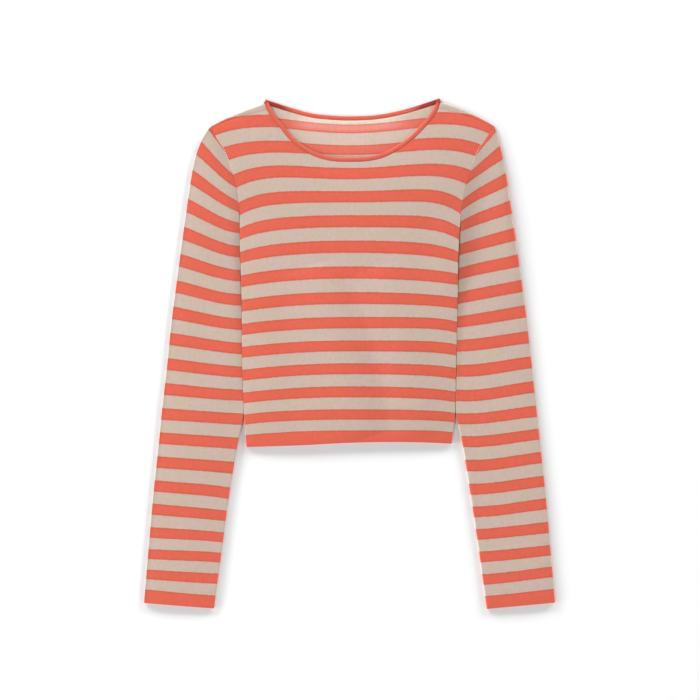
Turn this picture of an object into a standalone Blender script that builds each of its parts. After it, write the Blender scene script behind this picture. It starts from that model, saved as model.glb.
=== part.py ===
"""A cropped long-sleeve top in fine striped knit, laid flat on its back on a table.

Five pieces, as they are knitted and linked together: front, back, two sleeves and the narrow
binding round the neck. The hem and the cuffs are knitted in one with their panels, and the back
comes a little way over each shoulder to a seam on the front.
+X is the wearer's left, +Y runs from the hem to the neck, +Z is up and the table is Z = 0.
"""

from math import cos, exp, hypot, pi, radians, sin

import bmesh
import bpy
from mathutils import Matrix, Vector

# Driving dimensions in millimetres.
MM = 0.001
CLOTH = 1.2                 # thickness of the knitted fabric
SEAM = 0.3                  # between two pieces that are linked to each other
BESIDE = 0.4                # between a sleeve and the side seam that it lies against
SIDE_NEAR = 3.0             # a side seam point this close in height counts as beside a sleeve
CENTRE_Y = -0.6             # middle of the laid garment in the outline tables' frame
WELD = 0.001                # points closer than this are one point

BAND_WIDTH = 5.6            # neck binding, from its free edge to its seam
BAND_THICK = 1.5
BAND_CORNER = 0.45          # chamfer along the edges of the binding
BAND_PROUD = 0.5            # how far the front binding sits above the panel's middle

FRONT_LOFT = 1.9            # air under the middle of the front
LOFT_REACH = 30.0           # distance from a closed edge in which the front rises
LOFT_OPEN = 0.45            # share of that loft left at the hem and the neckline
OPEN_REACH = 40.0
ARMHOLE_START = 10.0        # the front is already raised by this much reach at the armhole

SHOULDER_FOLD = 1.5         # outer radius of the back's fold over the shoulder
OVER_AT_NECK = 9.0          # from that fold to the shoulder seam, at the neck and at the tip
OVER_AT_TIP = 2.2

TIP_EASE = 1.0              # extra gap where the folded sleeve starts at the shoulder tip
TIP_SHARE = 0.1             # share of the armhole over which that gap closes
SLEEVE_FOLD = 1.6           # outer radius of the folded edges of a sleeve
SLEEVE_CROWN = 1.5          # extra height in the middle of a flattened sleeve
CROWN_AT_ARMHOLE = 0.15     # share of that crown at the armhole and at the cuff
CROWN_AT_CUFF = 0.55
CROWN_POWER = 2.5           # how flat the crown is across the sleeve

# Mesh divisions.
SHOULDER_COLUMNS = 5
FRONT_GRID = {"neck": 24, "side": 12}
BACK_GRID = {"neck": 16, "side": 8}
SHOULDER_SHARE = 0.12       # share of the hem under the columns that end at one shoulder
SIDE_PULL = 6               # how fast the columns settle behind the shaped sides
ARMHOLE_ROWS = 9
RINGS_PER_SECTION = 2
ARMHOLE_FINE = 10           # fine steps along each of those rows, for the sleeve's edge
FOLD_STEPS = (45.0, 90.0)   # where the round of a folded edge has its points, in degrees
OVER_ANGLES = (0.0, 45.0, 90.0, 135.0, 180.0)   # and that of the back over the shoulder
OVER_STEPS = 2              # rows of the back between the shoulder's fold and its seam
BAND_TURN_STEPS = 6
CURVE_STEPS = 24            # straight steps between two points of an outline
RUN_STEPS = 100             # straight steps along a whole outline, where distances are taken

RIGHT, LEFT = -1, 1         # the wearer's right lies at -X
NECK_END = {RIGHT: 0, LEFT: -1}     # the end of a neckline run that is that shoulder's

# Outlines: (distance out from the centre line, height up the garment), from the hem upwards.
SIDE_SEAM = {
    RIGHT: ((134.0, -122.2), (135.4, -105.0), (137.4, -80.0), (139.6, -15.0),
            (140.3, 69.0), (142.3, 134.0), (143.1, 178.6)),
    LEFT: ((132.5, -117.8), (134.4, -102.6), (137.2, -78.0), (139.0, 2.7),
           (140.5, 69.0), (141.5, 127.5), (144.9, 182.7)),
}
ARMHOLE = {
    RIGHT: ((143.1, 178.6), (144.4, 195.0), (147.0, 214.6), (151.5, 232.0),
            (157.2, 250.7), (164.5, 267.0), (173.6, 280.5), (181.0, 294.4)),
    LEFT: ((144.9, 182.7), (146.8, 200.3), (151.4, 220.0), (157.0, 236.7),
           (162.0, 253.0), (168.6, 266.8), (176.6, 278.6), (188.4, 295.0)),
}
SHOULDER = {
    RIGHT: ((181.0, 294.4), (158.4, 306.3), (134.6, 315.8), (110.8, 324.2)),
    LEFT: ((188.4, 295.0), (177.0, 301.6), (156.5, 312.1), (136.0, 320.5), (118.4, 325.8)),
}

# Outlines: (x, y), from the wearer's right to the left.
HEM = ((-134.0, -122.2), (-97.0, -121.0), (-58.0, -119.6), (-19.0, -117.4),
       (20.0, -116.0), (60.0, -115.6), (97.0, -116.2), (132.5, -117.8))
FRONT_NECK = ((-110.8, 324.2), (-104.2, 310.2), (-90.4, 292.6), (-73.5, 273.1), (-48.8, 257.2),
              (-24.0, 249.8), (2.0, 248.6), (27.9, 250.1), (50.5, 256.8), (79.1, 274.9),
              (100.2, 295.8), (114.8, 315.9), (118.4, 325.8))
BACK_NECK = ((-110.8, 324.2), (-80.9, 314.6), (-51.7, 306.6), (-22.3, 303.2), (4.5, 302.4),
             (35.9, 304.1), (65.6, 309.6), (94.3, 317.8), (118.4, 325.8))

# Sleeve sections from the armhole to the cuff: (outer out, outer up, inner out, inner up).
SLEEVE_SECTIONS = {
    RIGHT: ((193.6, 273.5, 142.8, 164.0), (203.4, 242.0, 142.4, 142.0), (212.8, 181.0, 141.9, 112.0),
            (222.4, 111.0, 140.6, 72.0), (231.3, 43.0, 139.9, 22.0), (237.7, -20.0, 139.2, -31.0),
            (243.7, -71.0, 137.9, -78.6), (247.8, -114.0, 146.0, -121.0),
            (254.9, -180.0, 157.0, -187.0), (261.2, -250.0, 166.2, -256.5),
            (267.3, -324.8, 176.4, -332.0)),
    LEFT: ((190.9, 287.5, 144.7, 177.5), (196.4, 267.0, 144.2, 164.0), (203.3, 235.0, 143.1, 142.0),
           (212.0, 178.0, 141.5, 112.0), (221.5, 111.0, 140.5, 72.0), (230.4, 43.0, 139.5, 22.0),
           (237.4, -20.0, 138.9, -31.0), (242.7, -70.0, 138.4, -77.6), (247.4, -113.0, 147.0, -120.0),
           (254.6, -180.0, 157.4, -185.5), (260.8, -250.0, 168.0, -257.0),
           (267.3, -324.3, 178.3, -332.6)),
}
ARMHOLE_FADE = 3.0          # sections over which the armhole's curve straightens out

# Largest folds of the front: from (x, y) to (x, y), half width and depth of the trough.
FOLD_END_POWER = 0.5        # below 1 keeps a fold deep for longer towards its ends
FOLDS = (
    {"start": (-24.0, 80.0), "end": (42.0, -96.0), "width": 13.0, "depth": 0.8},
    {"start": (104.0, -8.0), "end": (126.0, -100.0), "width": 12.0, "depth": 0.7},
    {"start": (-78.0, -40.0), "end": (-68.0, -92.0), "width": 11.0, "depth": 0.5},
)

CORAL = (0.760, 0.140, 0.090, 1.0)
BEIGE = (0.620, 0.470, 0.390, 1.0)


def smooth_point(points, position):
    """Point at a position counted in points along a smooth curve through all the points."""
    last = len(points) - 1
    index = min(int(position), last - 1)
    t = position - index
    before, start = points[max(index - 1, 0)], points[index]
    end, after = points[index + 1], points[min(index + 2, last)]
    result = []
    for a, b, c, d in zip(before, start, end, after):
        result.append(b + 0.5 * t * (c - a + t * (2 * a - 5 * b + 4 * c - d + t * (3 * (b - c) + d - a))))
    return tuple(result)


def even_curve(points, count, trim=0.0):
    """count + 1 points, evenly spaced along the smooth curve, less a trim at both ends."""
    fine_steps = CURVE_STEPS * (len(points) - 1)
    fine = [Vector(smooth_point(points, i / CURVE_STEPS)) for i in range(fine_steps + 1)]
    lengths = run_lengths(fine)
    result, index = [], 0
    for k in range(count + 1):
        target = trim + (lengths[-1] - 2.0 * trim) * k / count
        while index < fine_steps - 1 and lengths[index + 1] < target:
            index += 1
        share = (target - lengths[index]) / (lengths[index + 1] - lengths[index])
        result.append(fine[index].lerp(fine[index + 1], share))
    return result


def run_lengths(points):
    """Length from the first point of a run to each of its points."""
    lengths = [0.0]
    for a, b in zip(points, points[1:]):
        lengths.append(lengths[-1] + (b - a).length)
    return lengths


def on_side(points, side):
    """Turn (out, up) rows into (x, y) on the wearer's right or left."""
    return [(side * out, up) for out, up in points]


def left_normals(points):
    """Unit normals to the left of the direction in which the points run."""
    normals = []
    for i in range(len(points)):
        along = points[min(i + 1, len(points) - 1)] - points[max(i - 1, 0)]
        normals.append(Vector((-along.y, along.x)).normalized())
    return normals


def seam_line(armhole, side):
    """The sleeve's side of an armhole seam, from the shoulder down, eased round the tip."""
    run = []
    for index, (point, normal) in enumerate(zip(armhole, left_normals(armhole))):
        below_tip = 1.0 - index / (len(armhole) - 1)
        ease = TIP_EASE * max(1.0 - below_tip / TIP_SHARE, 0.0)
        run.append(point - normal * side * (SEAM + ease))
    return run[::-1]


def shoulder_stations(side):
    """Along the shoulder's fold, from the tip to the neck: (point, direction to the seam, reach)."""
    fold = even_curve(on_side(SHOULDER[side], side), SHOULDER_COLUMNS)
    seam_tip = even_curve(on_side(ARMHOLE[side], side), 1, OVER_AT_TIP)[-1]
    seam_neck = even_curve(FRONT_NECK, 1, OVER_AT_NECK)[NECK_END[side]]
    at_tip, at_neck = (seam_tip - fold[0]).normalized(), (seam_neck - fold[-1]).normalized()
    stations = []
    for k, point in enumerate(fold):
        share = k / SHOULDER_COLUMNS
        reach = OVER_AT_TIP + (OVER_AT_NECK - OVER_AT_TIP) * share
        stations.append((point, at_tip.lerp(at_neck, share).normalized(), reach))
    return stations


def distance_to(edge, x, y):
    """Distance from a plan position to the nearest point of an edge."""
    return min(hypot(p.x - x, p.y - y) for p in edge)


def seam_edges():
    """The closed and the open edges of the body, as fine runs of points."""
    closed, armholes = [], []
    for side in (RIGHT, LEFT):
        closed += SIDE_RUNS[side] + even_curve(on_side(SHOULDER[side], side), RUN_STEPS)
        armholes += even_curve(on_side(ARMHOLE[side], side), RUN_STEPS)
    return closed, armholes, even_curve(HEM, RUN_STEPS) + even_curve(FRONT_NECK, RUN_STEPS)


SIDE_RUNS = {side: even_curve(on_side(SIDE_SEAM[side], side), RUN_STEPS) for side in (RIGHT, LEFT)}
CLOSED_EDGES, ARMHOLE_EDGES, OPEN_EDGES = seam_edges()


def fold_depth(x, y):
    """Depth of the largest folds at a plan position."""
    depth = 0.0
    for fold in FOLDS:
        start, end = Vector(fold["start"]), Vector(fold["end"])
        run = end - start
        along = (Vector((x, y)) - start).dot(run) / run.length_squared
        clamped = min(max(along, 0.0), 1.0)
        across = (Vector((x, y)) - start - run * clamped).length
        ends = sin(pi * clamped) ** FOLD_END_POWER if 0.0 < along < 1.0 else 0.0
        depth += fold["depth"] * ends * exp(-(across / fold["width"]) ** 2)
    return depth


def front_height(x, y):
    """Height of the front's inner face above the table."""
    closed = min(distance_to(CLOSED_EDGES, x, y), distance_to(ARMHOLE_EDGES, x, y) + ARMHOLE_START)
    loft = FRONT_LOFT * (1.0 - exp(-closed / LOFT_REACH))
    opened = 1.0 - exp(-distance_to(OPEN_EDGES, x, y) / OPEN_REACH)
    loft *= LOFT_OPEN + (1.0 - LOFT_OPEN) * opened
    return CLOTH + SEAM + max(loft - fold_depth(x, y), 0.0)


def back_height(x, y):
    """The back lies flat on the table."""
    return 0.0


def row_edge(side, grid, tip):
    """Points of a panel's side: up the side seam, then up the armhole to the panel's own tip."""
    seam = even_curve(on_side(SIDE_SEAM[side], side), grid["side"])
    armhole = even_curve(on_side(ARMHOLE[side], side), ARMHOLE_ROWS)
    return seam + armhole[1:-1] + [tip]


def front_top(grid):
    """The front's top: shoulder seam, neckline, shoulder seam, from the wearer's right."""
    seams = {}
    for side in (RIGHT, LEFT):
        stations = shoulder_stations(side)
        seams[side] = [point + toward * (reach + SEAM) for point, toward, reach in stations]
    neck = even_curve(FRONT_NECK, grid["neck"], OVER_AT_NECK + SEAM)
    return seams[RIGHT][:-1] + neck + seams[LEFT][:-1][::-1]


def back_top(grid):
    """The back's top: shoulder, neckline, shoulder, where the cloth starts to turn up."""
    turns = {}
    for side in (RIGHT, LEFT):
        stations = shoulder_stations(side)
        turns[side] = [point + toward * SHOULDER_FOLD for point, toward, reach in stations]
    neck = even_curve(BACK_NECK, grid["neck"])
    return turns[RIGHT] + neck[1:-1] + turns[LEFT][::-1]


def column_shares(grid):
    """Where the columns start along the hem: most of them go to the neckline."""
    outer = [SHOULDER_SHARE * k / SHOULDER_COLUMNS for k in range(SHOULDER_COLUMNS)]
    middle = 1.0 - 2.0 * SHOULDER_SHARE
    inner = [SHOULDER_SHARE + middle * k / grid["neck"] for k in range(grid["neck"] + 1)]
    return outer + inner + [1.0 - share for share in outer[::-1]]


def material(name, colour):
    """A matt knitted finish in one colour."""
    finish = bpy.data.materials.new(name)
    finish.use_nodes = True
    shader = finish.node_tree.nodes["Principled BSDF"]
    shader.inputs["Base Color"].default_value = colour
    shader.inputs["Roughness"].default_value = 0.9
    shader.inputs["Metallic"].default_value = 0.0
    return finish


def mapped_grids(name, grids, colour, parts):
    """An object of grids (columns, rows, place), each point put where place() says, in mm."""
    mesh = bpy.data.meshes.new(name)
    work = bmesh.new()
    for columns, rows, place in grids:
        made = bmesh.ops.create_grid(work, x_segments=columns, y_segments=rows, size=0.5)
        for vert in made["verts"]:
            column = round((vert.co.x + 0.5) * columns)
            row = round((vert.co.y + 0.5) * rows)
            x, y, z = place(column, row)
            vert.co = (x * MM, (y - CENTRE_Y) * MM, z * MM)
    bmesh.ops.remove_doubles(work, verts=work.verts, dist=WELD * MM)
    work.to_mesh(mesh)
    work.free()
    mesh.shade_smooth()
    mesh.materials.append(material(name, colour))
    obj = bpy.data.objects.new(name, mesh)
    parts.objects.link(obj)
    return obj


def thicken(obj, direction):
    """Give an open surface the thickness of the cloth, along (1) or against (-1) its normals."""
    solid = obj.modifiers.new("Cloth", "SOLIDIFY")
    solid.thickness = CLOTH * MM
    solid.offset = direction
    solid.use_rim = True
    return obj


def panel_patch(top, grid, height):
    """Grid of a panel between the hem, its two shaped sides and its top."""
    sides = {RIGHT: row_edge(RIGHT, grid, top[0]), LEFT: row_edge(LEFT, grid, top[-1])}
    columns, rows = len(top) - 1, len(sides[RIGHT]) - 1
    lengths = run_lengths(sides[RIGHT])
    up = [length / lengths[-1] for length in lengths]
    hem = [Vector(smooth_point(HEM, share * (len(HEM) - 1))) for share in column_shares(grid)]

    def place(column, row):
        share = column / columns
        point = hem[column].lerp(top[column], up[row])
        for side, corner, near in ((RIGHT, 0, 1.0 - share), (LEFT, -1, share)):
            straight = hem[corner].lerp(top[corner], up[row])
            point += near ** SIDE_PULL * (sides[side][row] - straight)
        return point.x, point.y, height(point.x, point.y)

    return columns, rows, place


def over_shoulder(side):
    """Grid of the back's cloth from where it turns up, over the shoulder, to the seam."""
    stations = shoulder_stations(side)[::-side]
    angles = [radians(angle) for angle in OVER_ANGLES]

    def place(column, row):
        point, toward, reach = stations[column]
        if row < len(angles):
            inset = SHOULDER_FOLD * (1.0 - sin(angles[row]))
            height = SHOULDER_FOLD * (1.0 - cos(angles[row]))
        else:
            share = (row - len(angles) + 1) / OVER_STEPS
            inset = SHOULDER_FOLD + (reach - SHOULDER_FOLD) * share
            height = 2.0 * SHOULDER_FOLD
        point = point + toward * inset
        return point.x, point.y, height

    return SHOULDER_COLUMNS, len(angles) - 1 + OVER_STEPS, place


def make_front(name, parts):
    """The front lies on the back, rising a little from its closed edges."""
    patch = panel_patch(front_top(FRONT_GRID), FRONT_GRID, front_height)
    return thicken(mapped_grids(name, [patch], BEIGE, parts), 1)


def make_back(name, parts):
    """The back lies flat and comes over both shoulders."""
    grids = [panel_patch(back_top(BACK_GRID), BACK_GRID, back_height)]
    grids += [over_shoulder(side) for side in (RIGHT, LEFT)]
    return thicken(mapped_grids(name, grids, BEIGE, parts), 1)


def side_out(side, up):
    """How far out the side seam lies near a height, or 0 below the hem."""
    return max((side * p.x for p in SIDE_RUNS[side] if abs(p.y - up) < SIDE_NEAR), default=0.0)


def sleeve_edges(side):
    """Outer and inner ends of every ring of a sleeve, and the armhole's run of points."""
    armhole = even_curve(on_side(ARMHOLE[side], side), ARMHOLE_FINE * ARMHOLE_ROWS)
    armhole = seam_line(armhole, side)
    sections = [(side * armhole[0].x, armhole[0].y, side * armhole[-1].x, armhole[-1].y)]
    for outer_out, outer_up, inner_out, inner_up in SLEEVE_SECTIONS[side]:
        clear = max(inner_out, side_out(side, inner_up) + BESIDE)
        sections.append((outer_out, outer_up, clear, inner_up))
    rings = RINGS_PER_SECTION * (len(sections) - 1)
    ends = []
    for ring in range(rings + 1):
        outer_out, outer_up, inner_out, inner_up = smooth_point(sections, ring / RINGS_PER_SECTION)
        inner_out = max(inner_out, side_out(side, inner_up) + BESIDE)
        ends.append((Vector((side * outer_out, outer_up)), Vector((side * inner_out, inner_up))))
    ends[0] = (armhole[0], armhole[-1])
    return ends, armhole


def ring_profile(width):
    """Round a flattened sleeve: (share across from the outer edge, rise from 0 to 1)."""
    fold = []
    for angle in FOLD_STEPS:
        inset = SLEEVE_FOLD * (1.0 - cos(radians(angle))) / width
        fold.append((inset, 0.5 + 0.5 * sin(radians(angle))))
    top = fold + [(k / ARMHOLE_ROWS, 1.0) for k in range(1, ARMHOLE_ROWS)]
    top += [(1.0 - share, rise) for share, rise in fold[::-1]]
    under = [(1.0 - share, 1.0 - rise) for share, rise in fold]
    under += [(k / ARMHOLE_ROWS, 0.0) for k in range(ARMHOLE_ROWS - 1, 0, -1)]
    under += [(share, 1.0 - rise) for share, rise in fold[::-1]]
    return [(0.0, 0.5)] + top + [(1.0, 0.5)] + under


def crown_height(along, across):
    """Extra height of a sleeve's upper layer, along it and across it."""
    if along < 0.5:
        share = CROWN_AT_ARMHOLE + (1.0 - CROWN_AT_ARMHOLE) * sin(pi * along)
    else:
        share = CROWN_AT_CUFF + (1.0 - CROWN_AT_CUFF) * sin(pi * along)
    return SLEEVE_CROWN * share * (1.0 - abs(2.0 * across - 1.0) ** CROWN_POWER)


def make_sleeve(name, side, parts):
    """A flattened tube of rings from the armhole to the cuff, open at both ends."""
    ends, armhole = sleeve_edges(side)
    rings = len(ends) - 1
    profiles = [ring_profile((inner - outer).length) for outer, inner in ends]
    around = len(profiles[0])

    def place(column, row):
        across, rise = profiles[row][column % around]
        outer, inner = ends[row]
        point = outer.lerp(inner, across)
        bend = max(1.0 - row / RINGS_PER_SECTION / ARMHOLE_FADE, 0.0) ** 2
        curve = armhole[round(across * (len(armhole) - 1))]
        point = point + bend * (curve - armhole[0].lerp(armhole[-1], across))
        height = 2.0 * SLEEVE_FOLD * rise
        if rise == 1.0:
            height += crown_height(row / rings, across)
        return point.x, point.y, height

    return thicken(mapped_grids(name, [(around, rings, place)], CORAL, parts), -side)


def band_outline():
    """The binding's section: (along its width, through its thickness), going round."""
    half_width, half_thick = BAND_WIDTH / 2.0, BAND_THICK / 2.0
    inner_width, inner_thick = half_width - BAND_CORNER, half_thick - BAND_CORNER
    return ((inner_width, -half_thick), (-inner_width, -half_thick), (-half_width, -inner_thick),
            (-half_width, inner_thick), (-inner_width, half_thick), (inner_width, half_thick),
            (half_width, inner_thick), (half_width, -inner_thick))


def band_centre(point, toward, height):
    """Centre of the binding's section beside a point of the neckline."""
    centre = point - toward * (SEAM + BAND_WIDTH / 2.0)
    return centre.to_3d() + Vector((0.0, 0.0, height))


def band_turn(corner, first, last, top, low):
    """Stations round a neck corner, where the binding rolls over from front to back."""
    swing = first.angle_signed(last)
    upward = Vector((-first.y - last.y, first.x + last.x)).normalized()
    if upward.y < 0.0:
        upward.negate()
    stations = []
    for step in range(1, BAND_TURN_STEPS):
        roll = pi * step / BAND_TURN_STEPS
        toward = first.copy()
        toward.rotate(Matrix.Rotation(-swing * roll / pi, 2))
        across = (upward - toward * upward.dot(toward)).normalized()
        through = Vector((0.0, 0.0, cos(roll))) + across.to_3d() * sin(roll)
        centre = band_centre(corner, toward, (top + low) / 2.0) + through * (top - low) / 2.0
        stations.append((centre, toward.to_3d(), through))
    return stations


def to_panel(points):
    """Directions from the neck opening to the panel, along a neckline run."""
    return [-normal for normal in left_normals(points)]


def band_stations():
    """Every station round the neck: (centre, width direction, thickness direction)."""
    ends = even_curve(FRONT_NECK, 1)
    neck = ends[:1] + even_curve(FRONT_NECK, FRONT_GRID["neck"], OVER_AT_NECK + SEAM) + ends[1:]
    nape = even_curve(BACK_NECK, BACK_GRID["neck"])
    heights = [front_height(p.x, p.y) + CLOTH / 2.0 + BAND_PROUD for p in neck]
    low, up = BAND_THICK / 2.0, Vector((0.0, 0.0, 1.0))
    front = [(band_centre(p, n, z), n.to_3d(), up) for p, n, z in zip(neck, to_panel(neck), heights)]
    under = [(band_centre(p, n, low), n.to_3d(), -up) for p, n in zip(nape, to_panel(nape))]
    over_left = band_turn(neck[-1], to_panel(neck)[-1], to_panel(nape)[-1], heights[-1], low)
    over_right = band_turn(neck[0], to_panel(neck)[0], to_panel(nape)[0], heights[0], low)
    return front + over_left + under[::-1] + over_right[::-1]


def make_neckband(name, parts):
    """A closed ring of sections: along the front neckline, over, and back along the back's."""
    outline, stations = band_outline(), band_stations()

    def place(column, row):
        centre, width, through = stations[row % len(stations)]
        along_width, along_through = outline[column % len(outline)]
        return centre + width * along_width + through * along_through

    return mapped_grids(name, [(len(outline), len(stations), place)], CORAL, parts)


def main():
    for old in list(bpy.data.objects):
        bpy.data.objects.remove(old, do_unlink=True)
    parts = bpy.data.collections.new("long_sleeve_top")
    bpy.context.scene.collection.children.link(parts)
    make_back("back", parts)
    make_front("front", parts)
    make_sleeve("sleeve_right", RIGHT, parts)
    make_sleeve("sleeve_left", LEFT, parts)
    make_neckband("neckband", parts)


main()
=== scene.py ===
"""A cropped long-sleeve top in fine striped knit, laid flat on its back on a pale table.

Each piece is a thin shell on the form of its CAD solid, with the creases of the laid cloth put in.
Sizes are millimetres in the plan frame of the outlines: x out from the centre line, y up the
garment, z above the table. The wearer's right lies at -X.
"""

from math import cos, hypot, pi, radians, sin, tan

import bmesh
import bpy
import numpy as np
from mathutils import Euler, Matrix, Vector


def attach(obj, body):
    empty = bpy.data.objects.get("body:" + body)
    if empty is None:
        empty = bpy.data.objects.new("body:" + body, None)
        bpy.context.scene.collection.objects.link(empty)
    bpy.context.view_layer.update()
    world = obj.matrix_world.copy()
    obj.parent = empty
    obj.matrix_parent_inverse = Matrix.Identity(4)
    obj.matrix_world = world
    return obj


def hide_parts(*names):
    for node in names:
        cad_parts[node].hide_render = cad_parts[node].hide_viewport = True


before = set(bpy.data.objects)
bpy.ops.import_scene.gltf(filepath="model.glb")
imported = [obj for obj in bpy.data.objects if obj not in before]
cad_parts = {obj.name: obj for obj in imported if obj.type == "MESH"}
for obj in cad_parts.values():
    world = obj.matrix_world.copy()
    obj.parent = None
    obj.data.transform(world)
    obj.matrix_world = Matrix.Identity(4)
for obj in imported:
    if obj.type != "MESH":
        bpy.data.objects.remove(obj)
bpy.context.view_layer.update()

# --- Back ------------------------------------------------------------------------------------------
# One panel of fine plain knit, coral stripes on beige, shaped on the machine and lying face down on
# the table. It comes a little way over each shoulder to a forward seam. The hem is knitted in one
# with it, and the paler wrong side of the knit shows inside the neck, with painted light in its middle.

MM = 0.001
RIGHT, LEFT = -1, 1
CENTRE_Y = -0.6             # middle of the laid garment in the frame of the outlines
CLOTH = 1.2                 # room that one layer takes in the laid garment
KNIT = 0.8                  # thickness of the knit itself
SEAM = 0.3                  # between two pieces that are linked to each other
LINKED = 0.145              # each piece's knit reaches this far into the seam
RIM = 0.15                  # rounding of the knit's edges
WELD = 0.002                # points closer than this are one point

# Outlines as (distance out from the centre line, height), from the hem upwards.
SIDE_SEAM = {
    RIGHT: ((134.0, -122.2), (135.4, -105.0), (137.4, -80.0), (139.6, -15.0),
            (140.3, 69.0), (142.3, 134.0), (143.1, 178.6)),
    LEFT: ((132.5, -117.8), (134.4, -102.6), (137.2, -78.0), (139.0, 2.7),
           (140.5, 69.0), (141.5, 127.5), (144.9, 182.7)),
}
ARMHOLE = {
    RIGHT: ((143.1, 178.6), (144.4, 195.0), (147.0, 214.6), (151.5, 232.0),
            (157.2, 250.7), (164.5, 267.0), (173.6, 280.5), (181.0, 294.4)),
    LEFT: ((144.9, 182.7), (146.8, 200.3), (151.4, 220.0), (157.0, 236.7),
           (162.0, 253.0), (168.6, 266.8), (176.6, 278.6), (188.4, 295.0)),
}
SHOULDER = {
    RIGHT: ((181.0, 294.4), (158.4, 306.3), (134.6, 315.8), (110.8, 324.2)),
    LEFT: ((188.4, 295.0), (177.0, 301.6), (156.5, 312.1), (136.0, 320.5), (118.4, 325.8)),
}
# Outlines as (x, y), from the wearer's right to the left.
HEM = ((-134.0, -122.2), (-97.0, -121.0), (-58.0, -119.6), (-19.0, -117.4),
       (20.0, -116.0), (60.0, -115.6), (97.0, -116.2), (132.5, -117.8))
BACK_NECK = ((-110.8, 324.2), (-80.9, 314.6), (-51.7, 306.6), (-22.3, 303.2), (4.5, 302.4),
             (35.9, 304.1), (65.6, 309.6), (94.3, 317.8), (118.4, 325.8))
FRONT_NECK = ((-110.8, 324.2), (-104.2, 310.2), (-90.4, 292.6), (-73.5, 273.1), (-48.8, 257.2),
              (-24.0, 249.8), (2.0, 248.6), (27.9, 250.1), (50.5, 256.8), (79.1, 274.9),
              (100.2, 295.8), (114.8, 315.9), (118.4, 325.8))
CORNER = {RIGHT: 0, LEFT: -1}           # a panel's first and last column, and a neckline's two ends

SHOULDER_FOLD = 1.5         # outer radius of the back's fold over the shoulder
OVER_AT_NECK = 9.0          # from that fold to the forward seam, at the neck and at the tip
OVER_AT_TIP = 2.2
SIDE_TUCK = 1.0             # the back's side edges lie this far inside the front's rolled edges
SHOULDER_SHARE = 0.12       # share of the hem under the columns that end at one shoulder
SIDE_PULL = 6               # how fast the columns settle behind the shaped sides
FLAP_DIP = 0.25             # how far the turned-over back dips into the forward seam
SIDE_ROWS, ARMHOLE_ROWS, SHOULDER_COLUMNS = 128, 56, 22
BACK_COLUMNS = 84
TUCK_END = (SIDE_ROWS - 6, SIDE_ROWS)   # rows over which the side tuck ends at the armhole
TURN_STEPS, FLAP_STEPS = 12, 4          # steps round the shoulder's fold, and on to the forward seam
RUN_STEPS, CREASE_STEPS = 24, 6         # steps of a smooth curve between two given points

# Coral stripes of the body, from the shoulders down: height of the middle of each at the centre line,
# then how far it drops at STRIPE_REACH out, in an even bow and in a hook that only the sides have.
STRIPE_REACH = 136.5
HOOK_POWER = (4, 4, 4, 6, 6, 6, 6, 6, 6, 6, 6, 6, 6, 6)
FRONT_STRIPES = (
    # height, right: bow, hook, left: bow, hook
    (297.8, -12.4, 9.9, -18.7, 11.9), (265.3, -10.4, 10.4, -18.6, 13.0),
    (232.7, -16.8, 20.8, -18.2, 15.9), (203.2, 2.6, 10.3, -6.9, 15.6),
    (171.3, 7.1, 6.9, 1.3, 11.7), (138.1, 8.8, 3.8, 5.6, 6.6),
    (104.4, 8.9, 1.4, 6.5, 1.2), (71.2, 8.6, 0.9, 4.3, 1.8),
    (39.1, 7.4, 1.0, -1.3, 6.2), (9.2, 7.9, 0.0, 0.7, 3.9),
    (-20.3, 8.4, 0.0, 3.1, 3.1), (-50.4, 7.9, 0.0, 3.8, 3.2),
    (-80.2, 4.6, 2.0, 1.3, 2.6), (-106.8, 6.5, 0.0, -1.8, 4.4),
)
BACK_STRIPES = ((291.6, -23.4, 15.6, -23.4, 15.6), (264.4, -18.2, 13.0, -18.2, 13.0)) + FRONT_STRIPES[2:]
LAST_STRIPE = 0.05          # below this share past the last coral's middle the edge stays coral
COURSES = 26                # knitted rows from one coral stripe to the next
WALE = 1.65                 # width of one column of stitches


def smooth_run(points, steps=RUN_STEPS):
    """Fine run of points on a smooth curve through the given ones."""
    knots = np.array(points, float)
    position = np.linspace(0, len(knots) - 1, steps * (len(knots) - 1) + 1)
    index = np.minimum(position.astype(int), len(knots) - 2)
    t = (position - index)[:, None]
    a, b = knots[np.maximum(index - 1, 0)], knots[index]
    c, d = knots[index + 1], knots[np.minimum(index + 2, len(knots) - 1)]
    return b + 0.5 * t * (c - a + t * (2 * a - 5 * b + 4 * c - d + t * (3 * (b - c) + d - a)))


def run_lengths(run):
    """Length from the start of a run to each of its points."""
    return np.concatenate([[0.0], np.cumsum(np.linalg.norm(np.diff(run, axis=0), axis=1))])


def even_run(points, count, first=0.0, last=0.0):
    """count + 1 points, evenly spaced along that smooth curve, less a length at its two ends."""
    run = smooth_run(points)
    length = run_lengths(run)
    at = np.linspace(first, length[-1] - last, count + 1)
    return np.stack([np.interp(at, length, run[:, k]) for k in range(run.shape[1])], axis=1)


def on_side(points, side):
    """Turn (out, up) rows into (x, y) on the wearer's right or left."""
    return [(side * out, up) for out, up in points]


def left_normals(run):
    """Unit normals to the left of the direction in which a run's points go."""
    along = np.gradient(run, axis=0)
    normals = np.stack([-along[:, 1], along[:, 0]], axis=1)
    return normals / np.linalg.norm(normals, axis=1, keepdims=True)


def distance_to(edge, plan):
    """From plan positions [row, column]: distance to a run of points, and share along it."""
    start, step = edge[:-1], np.diff(edge, axis=0)
    length = run_lengths(edge)
    distance, share = np.empty(plan.shape[:2]), np.empty(plan.shape[:2])
    for k, row in enumerate(plan):
        offset = row[:, None] - start
        along = np.clip((offset * step).sum(2) / (step * step).sum(1), 0.0, 1.0)
        far = np.linalg.norm(offset - along[..., None] * step, axis=2)
        near = far.argmin(axis=1)
        cell = np.arange(len(row))
        distance[k] = far[cell, near]
        share[k] = (length[near] + along[cell, near] * np.diff(length)[near]) / length[-1]
    return distance, share


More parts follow.
